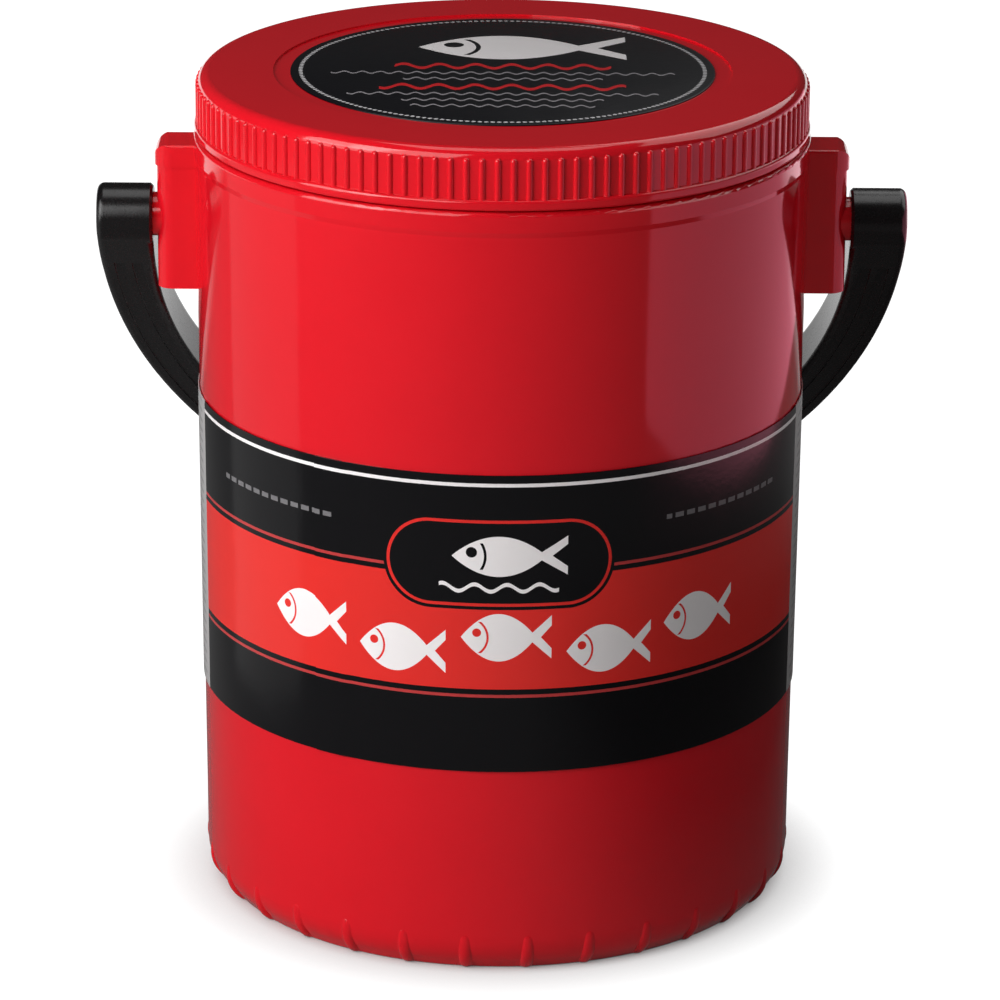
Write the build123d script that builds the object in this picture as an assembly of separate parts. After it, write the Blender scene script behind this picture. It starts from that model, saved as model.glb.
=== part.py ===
from build123d import *
import os
from math import acos, atan2, degrees, hypot, tan

# Insulated bait bucket: a double-walled bucket with a screw lid and a swinging bail.
# Millimetres, +Z up. The origin is the centre of the circle on which the bucket stands.
# The label faces -Y, the ears lie along X, and the bail hangs against the back, at +Y.

# ---- Outer shell -----------------------------------------------------------
SHELL_TOP = 174.9            # top of the collar above the floor
SHELL_RIM_RADIUS = 68.2      # wall's outer radius under the collar
SHELL_DRAFT = 1.4            # how much narrower the wall is at the floor
SHELL_WALL = 2.2
SHELL_FLOOR = 2.6
FOOT_INSET = 3.8             # from the drafted wall in to the edge on which the bucket stands
FOOT_CHAMFER_HEIGHT = 4.8
FOOT_ROUND = 8.0             # softens the chamfer's upper corner
FOOT_EDGE_ROUND = 1.2
FOOT_RECESS = 1.4            # hollow under the floor, inside the standing ring
FOOT_RING_WIDTH = 5.0
COLLAR_HEIGHT = 4.3
COLLAR_PROUD = 0.3           # out of the wall below it
COLLAR_STEP = 1.2            # slope under the collar
COLLAR_EDGE_ROUND = 0.4
COLLAR_TOP_ROUND = 0.9       # soft edge under the lid's seam
COLLAR_WALL = 2.55           # outside the rebate that holds the liner's flange

# ---- Lugs round the foot ---------------------------------------------------
LUG_COUNT = 30
LUG_WIDTH = 3.0
LUG_DEPTH = 1.8              # a lug is an oval bar, sunk in the wall but for its crest
LUG_OVERRUN = 4.7            # height of a lug's head above the foot's chamfer
LUG_SET_BACK = 0.8           # its foot, in from the edge on which the bucket stands
LUG_FADE = 0.2               # depth of the crest under the wall's face at the lug's head
LUG_FLOOR_GAP = 0.3          # the lugs stop this short of the floor

# ---- Ears and trunnions ----------------------------------------------------
EAR_REACH = 8.5              # outer face from the wall under the collar
EAR_WIDTH = 11.5
EAR_HEIGHT = 33.1
EAR_DROP = 2.8               # ear's top below the shell's top
EAR_CORNER = 3.6
EAR_WALL = 2.4
EAR_BEAD_HEIGHT = 5.0
EAR_BEAD_PROUD = 0.45
EAR_SHOULDER = 3.0           # round of the top's outer end
EAR_BEAD_ROUND = 0.6         # of the top's long edges
PIVOT_DROP = 17.3            # pivot below the ear's top
TRUNNION_RADIUS = 4.9
TRUNNION_LENGTH = 10.0       # out of the ear's face
TRUNNION_CHAMFER = 0.8

# ---- Bail ------------------------------------------------------------------
BAIL_SIDE_GAP = 1.0          # ear's face to the bail's arm
BAIL_REACH = 124.8           # outside of the grip from the pivot axis
BAIL_ARM_THICKNESS = 12.5
BAIL_GRIP_THICKNESS = 13.4
BAIL_STRAP_WIDTH = 11.6
BAIL_OUTER_STRAIGHT = 2.5    # straight run of an arm's outer side past the pivot
BAIL_STRAIGHT = 12.0         # the same on its inner side
BAIL_EDGE_ROUND = 1.6
BAIL_RIM = 3.0               # plain rim along both edges of each flat side
BAIL_GROOVE_WIDTH = 2.5      # two grooves run inside the rims
BAIL_GROOVE_DEPTH = 0.3
BAIL_GROOVE_ROUND = 0.2      # along the foot of a groove's walls
BAIL_GROOVE_START = 11.0     # ends of the grooves past the pivot axis
BAIL_SHOULDER = 16.0         # length past the pivot over which an arm thins from its hub
BAIL_SHOULDER_ROUND = 60.0
HUB_WALL = 1.92              # round the bore in each hub
HUB_OUTER_ROUND = 1.6
HUB_INNER_CHAMFER = 0.6
TRUNNION_CLEARANCE = 0.08    # running fit of a hub on its trunnion
TRUNNION_END_GAP = 0.6       # end of the trunnion to the bottom of the hub's bore
BAIL_REST_GAP = 0.4          # grip to label where the bail hangs against the back

# ---- Inner liner and its neck ----------------------------------------------
WALL_SPACE = 12.8            # for the foam, between the shell's wall and the liner's
LINER_DRAFT = 0.9            # how much narrower the liner's wall is at its floor
LINER_WALL = 2.0
LINER_CORNER = 6.0           # inside corner between wall and floor
LEDGE_DROP = 5.0             # ledge inside the neck, below the flange
NECK_HEIGHT = 9.7            # above the shell's top
NECK_WALL = 2.2
NECK_RIM_ROUND = 0.5
FLANGE_THICKNESS = 1.9
FLANGE_WIDTH = 3.0
FLANGE_CLEARANCE = 0.15      # flange in the collar's rebate

# ---- Insulation ------------------------------------------------------------
BASE_FOAM_THICKNESS = 12.0
FOAM_CLEARANCE = 0.15        # foam to shell and liner
FOAM_TOP_GAP = 0.3           # wall foam to the ledge above it
BASE_FOAM_CORNER = 8.0       # bevel that clears the shell's foot

# ---- Screw thread ----------------------------------------------------------
THREAD_LEAD = 5.0
THREAD_DEPTH = 1.6
THREAD_ROOT_WIDTH = 2.4
THREAD_CREST_WIDTH = 1.0
THREAD_SINK = 0.3            # root of a ridge inside the wall that carries it
THREAD_CREST_CLEARANCE = 0.5
THREAD_FLANK_GAP = 0.35
NECK_THREAD_FOOT = 0.8       # neck's ridge above the shell's top
NECK_THREAD_HEAD = 0.5       # neck's ridge below the neck's rim
LID_THREAD_FOOT = 0.7        # lid's ridge above the skirt's lower edge
LID_THREAD_HEAD = 2.0        # lid's ridge below the underside of the lid's plate

# ---- Lid cap ---------------------------------------------------------------
LID_PLATE = 2.5
LID_EDGE_ROUND = 2.5
LID_SEAM = 0.3               # gap between the collar and the skirt
LIP_INSET = 0.2              # lip's face behind the collar's
LIP_HEIGHT = 2.4
LIP_PROUD = 0.85             # out of the lid's wall
LIP_TOP_ROUND = 0.8
LIP_EDGE_ROUND = 0.7
RIB_COUNT = 127
RIB_RADIUS = 0.72
RIB_PROUD = 0.55             # out of the lid's wall
RIB_TOP_GAP = 1.9            # ribs' tops below the lid's top
TOP_RECESS_RADIUS = 50.8
TOP_RECESS_DEPTH = 0.4

# ---- Inside of the lid -----------------------------------------------------
PLUG_CLEARANCE = 0.8         # plug in the mouth of the neck
PLUG_DEPTH = 9.0             # below the underside of the lid's plate
PLUG_WALL = 1.4
PLUG_FLOOR = 1.6
PLUG_CORNER = 1.5
LID_FOAM_CLEARANCE = 0.15
GASKET_THICKNESS = 1.4
GASKET_INNER_CLEARANCE = 0.4     # gasket outside the plug's wall
GASKET_OUTER_CLEARANCE = 0.5     # gasket inside the skirt
GASKET_EDGE_ROUND = 0.35

# ---- Labels ----------------------------------------------------------------
LABEL_BOTTOM = 48.3
LABEL_EAR_GAP = 22.4         # label's top below the ears
LABEL_THICKNESS = 0.2
LABEL_CLEARANCE = 0.15
LID_LABEL_MARGIN = 3.8       # plain ring round the label in the lid's recess
LID_LABEL_THICKNESS = 0.3

# ---- Heights that follow from the values above -----------------------------
SHELL_FLOOR_TOP = FOOT_RECESS + SHELL_FLOOR
COLLAR_BOTTOM = SHELL_TOP - COLLAR_HEIGHT
REBATE_FLOOR = SHELL_TOP - FLANGE_THICKNESS
LUG_TOP = FOOT_CHAMFER_HEIGHT + LUG_OVERRUN
EAR_TOP = SHELL_TOP - EAR_DROP
EAR_BOTTOM = EAR_TOP - EAR_HEIGHT
PIVOT_HEIGHT = EAR_TOP - PIVOT_DROP
LABEL_TOP = EAR_BOTTOM - LABEL_EAR_GAP
LINER_FLOOR_BOTTOM = SHELL_FLOOR_TOP + BASE_FOAM_THICKNESS
LINER_FLOOR_TOP = LINER_FLOOR_BOTTOM + LINER_WALL
LINER_LEDGE_TOP = REBATE_FLOOR - LEDGE_DROP
LINER_LEDGE_BOTTOM = LINER_LEDGE_TOP - LINER_WALL
NECK_TOP = SHELL_TOP + NECK_HEIGHT
SKIRT_BOTTOM = SHELL_TOP + LID_SEAM
LIP_TOP = SKIRT_BOTTOM + LIP_HEIGHT
PLATE_BOTTOM = NECK_TOP + GASKET_THICKNESS
LID_TOP = PLATE_BOTTOM + LID_PLATE
RIB_TOP = LID_TOP - RIB_TOP_GAP
PLUG_BOTTOM = PLATE_BOTTOM - PLUG_DEPTH
NECK_THREAD_START = SHELL_TOP + NECK_THREAD_FOOT + THREAD_ROOT_WIDTH / 2
NECK_THREAD_END = NECK_TOP - NECK_THREAD_HEAD - THREAD_ROOT_WIDTH / 2
LID_THREAD_START = SKIRT_BOTTOM + LID_THREAD_FOOT + THREAD_ROOT_WIDTH / 2
LID_THREAD_END = PLATE_BOTTOM - LID_THREAD_HEAD - THREAD_ROOT_WIDTH / 2

# ---- Radii and distances from the axis that follow -------------------------
SHELL_FOOT_RADIUS = SHELL_RIM_RADIUS - SHELL_DRAFT
FOOT_RADIUS = SHELL_FOOT_RADIUS - FOOT_INSET
COLLAR_RADIUS = SHELL_RIM_RADIUS + COLLAR_PROUD
REBATE_RADIUS = COLLAR_RADIUS - COLLAR_WALL
FLANGE_RADIUS = REBATE_RADIUS - FLANGE_CLEARANCE
NECK_RADIUS = FLANGE_RADIUS - FLANGE_WIDTH
MOUTH_RADIUS = NECK_RADIUS - NECK_WALL
LINER_LEDGE_RADIUS = SHELL_RIM_RADIUS - SHELL_WALL - WALL_SPACE - LINER_WALL
LINER_FLOOR_RADIUS = LINER_LEDGE_RADIUS - LINER_DRAFT
THREAD_CREST_RADIUS = NECK_RADIUS + THREAD_DEPTH
SKIRT_BORE_RADIUS = THREAD_CREST_RADIUS + THREAD_CREST_CLEARANCE
LIP_RADIUS = COLLAR_RADIUS - LIP_INSET
LID_WALL_RADIUS = LIP_RADIUS - LIP_PROUD
RIB_CENTRE_RADIUS = LID_WALL_RADIUS + RIB_PROUD - RIB_RADIUS
LID_LABEL_RADIUS = TOP_RECESS_RADIUS - LID_LABEL_MARGIN
PLUG_RADIUS = MOUTH_RADIUS - PLUG_CLEARANCE
LABEL_RADIUS_GAIN = LABEL_CLEARANCE + LABEL_THICKNESS
EAR_FACE = SHELL_RIM_RADIUS + EAR_REACH
HUB_INNER_FACE = EAR_FACE + BAIL_SIDE_GAP
BAIL_HALF_WIDTH = HUB_INNER_FACE + BAIL_ARM_THICKNESS
TRUNNION_END = EAR_FACE + TRUNNION_LENGTH
BORE_RADIUS = TRUNNION_RADIUS + TRUNNION_CLEARANCE
HUB_RADIUS = BORE_RADIUS + HUB_WALL
GROOVE_FLOOR = BAIL_STRAP_WIDTH / 2 - BAIL_GROOVE_DEPTH
BORE_END = TRUNNION_END + TRUNNION_END_GAP
BAIL_INNER_REACH = BAIL_REACH - BAIL_GRIP_THICKNESS
AXIS_RZ = Plane.XZ           # a profile's x is the radius and its y is the height


def along(z, low_z, low_radius, high_z, high_radius):
    """Radius at height z on the straight line between two points of a profile."""
    share = (z - low_z) / (high_z - low_z)
    return low_radius + share * (high_radius - low_radius)


def shell_radius(z):
    """Outer radius of the drafted wall."""
    return along(z, 0, SHELL_FOOT_RADIUS, COLLAR_BOTTOM, SHELL_RIM_RADIUS)


def shell_bore(z):
    """Inner radius of the drafted wall."""
    return shell_radius(z) - SHELL_WALL


def liner_bore(z):
    """Inner radius of the liner's wall."""
    return along(z, LINER_FLOOR_TOP, LINER_FLOOR_RADIUS, LINER_LEDGE_TOP, LINER_LEDGE_RADIUS)


def liner_outside(z):
    return liner_bore(z) + LINER_WALL


def turned(points, rounds=None):
    """Solid of revolution from a closed profile; rounds maps a point's index to a fillet radius."""
    face = make_face(Polyline(*points, close=True))
    for index, radius in (rounds or {}).items():
        corner = Vector(*points[index])
        vertex = min(face.vertices(), key=lambda v: (Vector(v) - corner).length)
        face = fillet(vertex, radius)
    return revolve(AXIS_RZ * face, Axis.Z)


def thread_ridge(wall_radius, crest_radius, start_height, end_height, start_angle):
    """One right-handed ridge with a trapezoid section, on the outside or the inside of a wall."""
    outward = 1 if crest_radius > wall_radius else -1
    helix = Helix(THREAD_LEAD, end_height - start_height, wall_radius)
    root = -outward * THREAD_SINK
    crest = crest_radius - wall_radius
    flank = Polygon(
        (root, -THREAD_ROOT_WIDTH / 2),
        (crest, -THREAD_CREST_WIDTH / 2),
        (crest, THREAD_CREST_WIDTH / 2),
        (root, THREAD_ROOT_WIDTH / 2),
        align=None,
    )
    section = Plane(helix @ 0, x_dir=(1, 0, 0), z_dir=helix % 0) * flank
    ridge = sweep(section, path=helix, is_frenet=True)
    return Pos(0, 0, start_height) * Rot(0, 0, start_angle) * ridge


def neck_thread_angle(height):
    """Angle at which the neck's ridge passes a height, in degrees about +Z."""
    return 360 * (height - NECK_THREAD_START) / THREAD_LEAD


def thread_mesh_offset():
    """Height of the neck's ridge above the lid's ridge that bears on it from below."""
    slope = (THREAD_ROOT_WIDTH - THREAD_CREST_WIDTH) / 2 / (THREAD_DEPTH + THREAD_SINK)
    overlap = THREAD_DEPTH - THREAD_CREST_CLEARANCE
    return THREAD_CREST_WIDTH + slope * overlap + THREAD_FLANK_GAP


# ---- Outer shell -----------------------------------------------------------
def shell_wall():
    ring_inside = FOOT_RADIUS - FOOT_RING_WIDTH
    step_bottom = COLLAR_BOTTOM - COLLAR_STEP
    inner_corner = FOOT_CHAMFER_HEIGHT + SHELL_FLOOR
    foot_slope = (shell_radius(FOOT_CHAMFER_HEIGHT) - FOOT_RADIUS) / FOOT_CHAMFER_HEIGHT
    floor_bore = shell_bore(inner_corner) - foot_slope * (inner_corner - SHELL_FLOOR_TOP)
    points = [
        (0, FOOT_RECESS),
        (ring_inside - FOOT_RECESS, FOOT_RECESS),
        (ring_inside, 0),
        (FOOT_RADIUS, 0),
        (shell_radius(FOOT_CHAMFER_HEIGHT), FOOT_CHAMFER_HEIGHT),
        (shell_radius(step_bottom), step_bottom),
        (COLLAR_RADIUS, COLLAR_BOTTOM),
        (COLLAR_RADIUS, SHELL_TOP),
        (REBATE_RADIUS, SHELL_TOP),
        (REBATE_RADIUS, REBATE_FLOOR),
        (shell_bore(REBATE_FLOOR), REBATE_FLOOR),
        (shell_bore(inner_corner), inner_corner),
        (floor_bore, SHELL_FLOOR_TOP),
        (0, SHELL_FLOOR_TOP),
    ]
    rounds = {
        3: FOOT_EDGE_ROUND,
        4: FOOT_ROUND,
        6: COLLAR_EDGE_ROUND,
        7: COLLAR_TOP_ROUND,
    }
    return turned(points, rounds)


def foot_lugs():
    """Soft upright ridges round the foot, whose heads fade into the wall."""
    sunk = LUG_DEPTH / 2
    middle = LUG_TOP / 2
    path = ThreePointArc(
        (FOOT_RADIUS - LUG_SET_BACK - sunk, 0, 0),
        (shell_radius(middle) - sunk, 0, middle),
        (shell_radius(LUG_TOP) - LUG_FADE - sunk, 0, LUG_TOP),
    )
    section = Plane(path @ 0, x_dir=(0, 1, 0), z_dir=path % 0) * Ellipse(LUG_WIDTH / 2, sunk)
    lug = sweep(section, path)
    lug = split(lug, Plane.XY.offset(LUG_FLOOR_GAP), keep=Keep.TOP)
    return [place * lug for place in PolarLocations(0, LUG_COUNT)]


def ear_block(face, width, corner, bottom, top):
    """Upright block from inside the shell's wall to an ear's outer face, at +X."""
    start = shell_bore(EAR_BOTTOM) + SHELL_WALL / 2
    outline = Rectangle(face - start, width, align=(Align.MIN, Align.CENTER))
    outline = fillet(outline.vertices().group_by(Axis.X)[-1], corner)
    return Pos(start, 0, bottom) * extrude(outline, top - bottom)


def ear_bead():
    """Wider head of an ear, with its outer end rounded down and its long edges softened."""
    face = EAR_FACE + EAR_BEAD_PROUD
    width = EAR_WIDTH + 2 * EAR_BEAD_PROUD
    corner = EAR_CORNER + EAR_BEAD_PROUD
    block = ear_block(face, width, corner, EAR_TOP - EAR_BEAD_HEIGHT, EAR_TOP)
    side = Pos(face, EAR_TOP) * Rectangle(2 * EAR_REACH, EAR_HEIGHT, align=(Align.MAX, Align.MAX))
    outer_corner = side.vertices().group_by(Axis.X)[-1].sort_by(Axis.Y)[-1]
    side = Plane.XZ * fillet(outer_corner, EAR_SHOULDER)
    front = Pos(0, EAR_TOP) * Rectangle(width, EAR_HEIGHT, align=(Align.CENTER, Align.MAX))
    front = Plane.YZ * fillet(front.vertices().group_by(Axis.Y)[-1], EAR_BEAD_ROUND)
    return block & extrude(side, EAR_WIDTH, both=True) & extrude(front, 2 * EAR_FACE)


def ear():
    body = ear_block(EAR_FACE, EAR_WIDTH, EAR_CORNER, EAR_BOTTOM, EAR_TOP - EAR_SHOULDER)
    pocket_start = shell_radius(EAR_TOP) + EAR_WALL / 2
    pocket = Pos(pocket_start, 0, EAR_BOTTOM) * Box(
        EAR_FACE - EAR_WALL - pocket_start,
        EAR_WIDTH - 2 * EAR_WALL,
        EAR_TOP - EAR_BOTTOM - EAR_WALL,
        align=(Align.MIN, Align.CENTER, Align.MIN),
    )
    return body + ear_bead() - pocket


def trunnion():
    """Round pin on the ear's face, on which a hub of the bail turns."""
    root = EAR_FACE - EAR_WALL / 2
    pin = Cylinder(TRUNNION_RADIUS, TRUNNION_END - root, align=(Align.CENTER, Align.CENTER, Align.MIN))
    pin = chamfer(pin.edges().group_by(Axis.Z)[-1], TRUNNION_CHAMFER)
    return Pos(root, 0, PIVOT_HEIGHT) * Rot(0, 90, 0) * pin


def outer_shell():
    side = ear() + trunnion()
    return shell_wall() + foot_lugs() + side + Rot(0, 0, 180) * side


# ---- Liner and insulation --------------------------------------------------
def inner_liner():
    points = [
        (0, LINER_FLOOR_BOTTOM),
        (liner_outside(LINER_FLOOR_BOTTOM), LINER_FLOOR_BOTTOM),
        (liner_outside(LINER_LEDGE_BOTTOM), LINER_LEDGE_BOTTOM),
        (NECK_RADIUS, LINER_LEDGE_BOTTOM),
        (NECK_RADIUS, REBATE_FLOOR),
        (FLANGE_RADIUS, REBATE_FLOOR),
        (FLANGE_RADIUS, SHELL_TOP),
        (NECK_RADIUS, SHELL_TOP),
        (NECK_RADIUS, NECK_TOP),
        (MOUTH_RADIUS, NECK_TOP),
        (MOUTH_RADIUS, LINER_LEDGE_TOP),
        (LINER_LEDGE_RADIUS, LINER_LEDGE_TOP),
        (LINER_FLOOR_RADIUS, LINER_FLOOR_TOP),
        (0, LINER_FLOOR_TOP),
    ]
    rounds = {
        1: LINER_CORNER + LINER_WALL,
        8: NECK_RIM_ROUND,
        9: NECK_RIM_ROUND,
        12: LINER_CORNER,
    }
    ridge = thread_ridge(
        NECK_RADIUS, THREAD_CREST_RADIUS, NECK_THREAD_START, NECK_THREAD_END, 0
    )
    return turned(points, rounds) + ridge


def wall_foam():
    """Sleeve of foam between the shell's wall and the liner's wall."""
    bottom = LINER_FLOOR_BOTTOM
    top = LINER_LEDGE_BOTTOM - FOAM_TOP_GAP
    return turned([
        (liner_outside(bottom) + FOAM_CLEARANCE, bottom),
        (shell_bore(bottom) - FOAM_CLEARANCE, bottom),
        (shell_bore(top) - FOAM_CLEARANCE, top),
        (liner_outside(top) + FOAM_CLEARANCE, top),
    ])


def base_foam():
    """Disc of foam under the liner, bevelled to clear the foot."""
    radius = shell_bore(LINER_FLOOR_BOTTOM) - FOAM_CLEARANCE
    return turned([
        (0, SHELL_FLOOR_TOP),
        (radius - BASE_FOAM_CORNER, SHELL_FLOOR_TOP),
        (radius, SHELL_FLOOR_TOP + BASE_FOAM_CORNER),
        (radius, LINER_FLOOR_BOTTOM),
        (0, LINER_FLOOR_BOTTOM),
    ])


# ---- Lid -------------------------------------------------------------------
def lid_ribs():
    """Half-round upright grip ribs, sunk in the lid's wall, each with a round upper end."""
    bottom = LIP_TOP - LIP_TOP_ROUND
    height = RIB_TOP - RIB_RADIUS - bottom
    rib = Cylinder(RIB_RADIUS, height, align=(Align.CENTER, Align.CENTER, Align.MIN))
    rib += Pos(0, 0, height) * Sphere(RIB_RADIUS)
    rib = Pos(RIB_CENTRE_RADIUS, 0, bottom) * Rot(0, 0, 180) * rib
    return [place * rib for place in PolarLocations(0, RIB_COUNT)]


def lid_cap():
    body = turned([
        (0, PLATE_BOTTOM),
        (SKIRT_BORE_RADIUS, PLATE_BOTTOM),
        (SKIRT_BORE_RADIUS, SKIRT_BOTTOM),
        (LIP_RADIUS, SKIRT_BOTTOM),
        (LIP_RADIUS, LIP_TOP),
        (LID_WALL_RADIUS, LIP_TOP),
        (LID_WALL_RADIUS, LID_TOP),
        (TOP_RECESS_RADIUS, LID_TOP),
        (TOP_RECESS_RADIUS, LID_TOP - TOP_RECESS_DEPTH),
        (0, LID_TOP - TOP_RECESS_DEPTH),
    ], {3: LIP_EDGE_ROUND, 4: LIP_TOP_ROUND, 6: LID_EDGE_ROUND})
    ridge = thread_ridge(
        SKIRT_BORE_RADIUS,
        SKIRT_BORE_RADIUS - THREAD_DEPTH,
        LID_THREAD_START,
        LID_THREAD_END,
        neck_thread_angle(LID_THREAD_START + thread_mesh_offset()),
    )
    return body + ridge + lid_ribs()


def lid_liner():
    """White pan that closes the lid from below and plugs the mouth."""
    return turned([
        (0, PLUG_BOTTOM),
        (PLUG_RADIUS, PLUG_BOTTOM),
        (PLUG_RADIUS, PLATE_BOTTOM),
        (PLUG_RADIUS - PLUG_WALL, PLATE_BOTTOM),
        (PLUG_RADIUS - PLUG_WALL, PLUG_BOTTOM + PLUG_FLOOR),
        (0, PLUG_BOTTOM + PLUG_FLOOR),
    ], {1: PLUG_CORNER})


def lid_foam():
    radius = PLUG_RADIUS - PLUG_WALL - LID_FOAM_CLEARANCE
    bottom = PLUG_BOTTOM + PLUG_FLOOR
    return Pos(0, 0, bottom) * Cylinder(
        radius, PLATE_BOTTOM - bottom, align=(Align.CENTER, Align.CENTER, Align.MIN)
    )


def lid_gasket():
    inner = PLUG_RADIUS + GASKET_INNER_CLEARANCE
    outer = SKIRT_BORE_RADIUS - GASKET_OUTER_CLEARANCE
    return turned([
        (inner, NECK_TOP),
        (outer, NECK_TOP),
        (outer, PLATE_BOTTOM),
        (inner, PLATE_BOTTOM),
    ], {index: GASKET_EDGE_ROUND for index in range(4)})


def lid_label():
    return Pos(0, 0, LID_TOP - TOP_RECESS_DEPTH) * Cylinder(
        LID_LABEL_RADIUS, LID_LABEL_THICKNESS, align=(Align.CENTER, Align.CENTER, Align.MIN)
    )


# ---- Label -----------------------------------------------------------------
def label_sleeve():
    """Thin printed sleeve round the shell."""
    return turned([
        (shell_radius(LABEL_BOTTOM) + LABEL_CLEARANCE, LABEL_BOTTOM),
        (shell_radius(LABEL_BOTTOM) + LABEL_RADIUS_GAIN, LABEL_BOTTOM),
        (shell_radius(LABEL_TOP) + LABEL_RADIUS_GAIN, LABEL_TOP),
        (shell_radius(LABEL_TOP) + LABEL_CLEARANCE, LABEL_TOP),
    ])


# ---- Bail ------------------------------------------------------------------
def bail_tilt():
    """Angle below the horizontal at which the grip meets the label's back, in degrees.

    The label's radius is read at the height of contact, found by a few rounds of substitution.
    """
    edge_reach = BAIL_INNER_REACH + BAIL_EDGE_ROUND
    edge_side = BAIL_STRAP_WIDTH / 2 - BAIL_EDGE_ROUND
    span = hypot(edge_reach, edge_side)
    lean = atan2(edge_side, edge_reach)
    height = (LABEL_BOTTOM + LABEL_TOP) / 2
    for _ in range(4):
        stop = shell_radius(height) + LABEL_RADIUS_GAIN + BAIL_REST_GAP + BAIL_EDGE_ROUND
        angle = acos(stop / span) - lean
        height = PIVOT_HEIGHT - stop * tan(angle + lean)
    return degrees(angle)


def bail_face(half_width, reach, straight):
    """Filled outline of one side of the strap: two straight arms and half an ellipse."""
    bend = EllipticalCenterArc((0, straight), half_width, reach - straight, 0, arc_size=180)
    legs = Polyline((-half_width, straight), (-half_width, 0), (half_width, 0), (half_width, straight))
    return make_face(bend + legs)


def bail_side():
    """Outline of the strap from the side, on YZ: as thick as a hub at the pivot, then even."""
    edge = BAIL_STRAP_WIDTH / 2
    outline = Plane.YZ * Polygon(
        (0, HUB_RADIUS),
        (BAIL_SHOULDER, edge),
        (BAIL_REACH, edge),
        (BAIL_REACH, -edge),
        (BAIL_SHOULDER, -edge),
        (0, -HUB_RADIUS),
        align=None,
    )
    shoulders = outline.vertices().group_by(Axis.Y)[1]
    return fillet(shoulders, BAIL_SHOULDER_ROUND)


def bail_strap():
    """Strap in its own plane, with its arms along +Y and the pivot axis along X."""
    outer = bail_face(BAIL_HALF_WIDTH, BAIL_REACH, BAIL_OUTER_STRAIGHT)
    inner = bail_face(HUB_INNER_FACE, BAIL_INNER_REACH, BAIL_STRAIGHT)
    strap = extrude(outer - inner, HUB_RADIUS, both=True)
    strap = strap & extrude(bail_side(), BAIL_HALF_WIDTH, both=True)
    long_edges = strap.edges().filter_by(lambda edge: abs(edge.center().Z) > BAIL_EDGE_ROUND)
    long_edges = long_edges.filter_by(Axis.X, reverse=True)
    return fillet(long_edges, BAIL_EDGE_ROUND)


def bail_band(start, width):
    """Outline of a band that follows the strap, this far in from its outer side."""
    outer = bail_face(BAIL_HALF_WIDTH - start, BAIL_REACH - start, BAIL_OUTER_STRAIGHT)
    far = start + width
    inner = bail_face(BAIL_HALF_WIDTH - far, BAIL_REACH - far, BAIL_OUTER_STRAIGHT)
    return outer - inner


def bail_grooves():
    """Two shallow grooves along each flat side of the strap."""
    inner_groove = BAIL_ARM_THICKNESS - BAIL_RIM - BAIL_GROOVE_WIDTH
    bands = bail_band(BAIL_RIM, BAIL_GROOVE_WIDTH) + bail_band(inner_groove, BAIL_GROOVE_WIDTH)
    hubs = Rectangle(2 * BAIL_HALF_WIDTH, 2 * BAIL_GROOVE_START)
    upper = Pos(0, 0, GROOVE_FLOOR) * extrude(bands - hubs, HUB_RADIUS - GROOVE_FLOOR)
    return upper + mirror(upper, Plane.XY)


def grooved_strap():
    strap = bail_strap() - bail_grooves()
    low, high = GROOVE_FLOOR - BAIL_GROOVE_ROUND, GROOVE_FLOOR + BAIL_GROOVE_ROUND
    feet = strap.edges().filter_by(lambda edge: low < abs(edge.center().Z) < high)
    feet = feet.filter_by(lambda edge: edge.length > 2 * BAIL_REACH)
    return fillet(feet, BAIL_GROOVE_ROUND)


def bail_hub():
    """Round boss at the end of an arm, on +X, with its rim rounded outside and bevelled inside."""
    profile = make_face(Polyline(
        (HUB_INNER_FACE, 0),
        (HUB_INNER_FACE, HUB_RADIUS),
        (BAIL_HALF_WIDTH, HUB_RADIUS),
        (BAIL_HALF_WIDTH, 0),
        close=True,
    ))
    corners = profile.vertices().group_by(Axis.Y)[-1].sort_by(Axis.X)
    profile = fillet(corners[1], HUB_OUTER_ROUND)
    inner = profile.vertices().sort_by_distance((HUB_INNER_FACE, HUB_RADIUS))[0]
    profile = chamfer(inner, HUB_INNER_CHAMFER)
    return revolve(profile, Axis.X)


def bail_bore():
    depth = BORE_END - HUB_INNER_FACE
    bore = Cylinder(BORE_RADIUS, depth, align=(Align.CENTER, Align.CENTER, Align.MIN))
    return Pos(HUB_INNER_FACE, 0, 0) * Rot(0, 90, 0) * bore


def bail_handle():
    hub = bail_hub()
    bore = bail_bore()
    flat = grooved_strap() + hub + mirror(hub, Plane.YZ) - bore - mirror(bore, Plane.YZ)
    return Pos(0, 0, PIVOT_HEIGHT) * Rot(-bail_tilt(), 0, 0) * flat


PARTS = {
    "outer_shell": outer_shell,
    "inner_liner": inner_liner,
    "wall_foam": wall_foam,
    "base_foam": base_foam,
    "label_sleeve": label_sleeve,
    "lid_cap": lid_cap,
    "lid_foam": lid_foam,
    "lid_liner": lid_liner,
    "lid_gasket": lid_gasket,
    "lid_label": lid_label,
    "bail_handle": bail_handle,
}

os.makedirs("parts", exist_ok=True)
for name, make in PARTS.items():
    export_step(make(), f"parts/{name}.step")
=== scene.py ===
# %% [markdown]
# # An insulated bait bucket
# The bucket keeps minnows alive on the ice. It has a red double wall with foam inside, a screw lid
# with grip ribs, a printed label sleeve and a black bail that swings on two pins.
# The solid pieces come from a CAD model. They could be modelled again here, but they already have
# true sizes and fit each other, so they only get their finishes. The two thin printed pieces are
# modelled again, because print needs a real sheet with edges and a seam.

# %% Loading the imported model
import math

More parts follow.
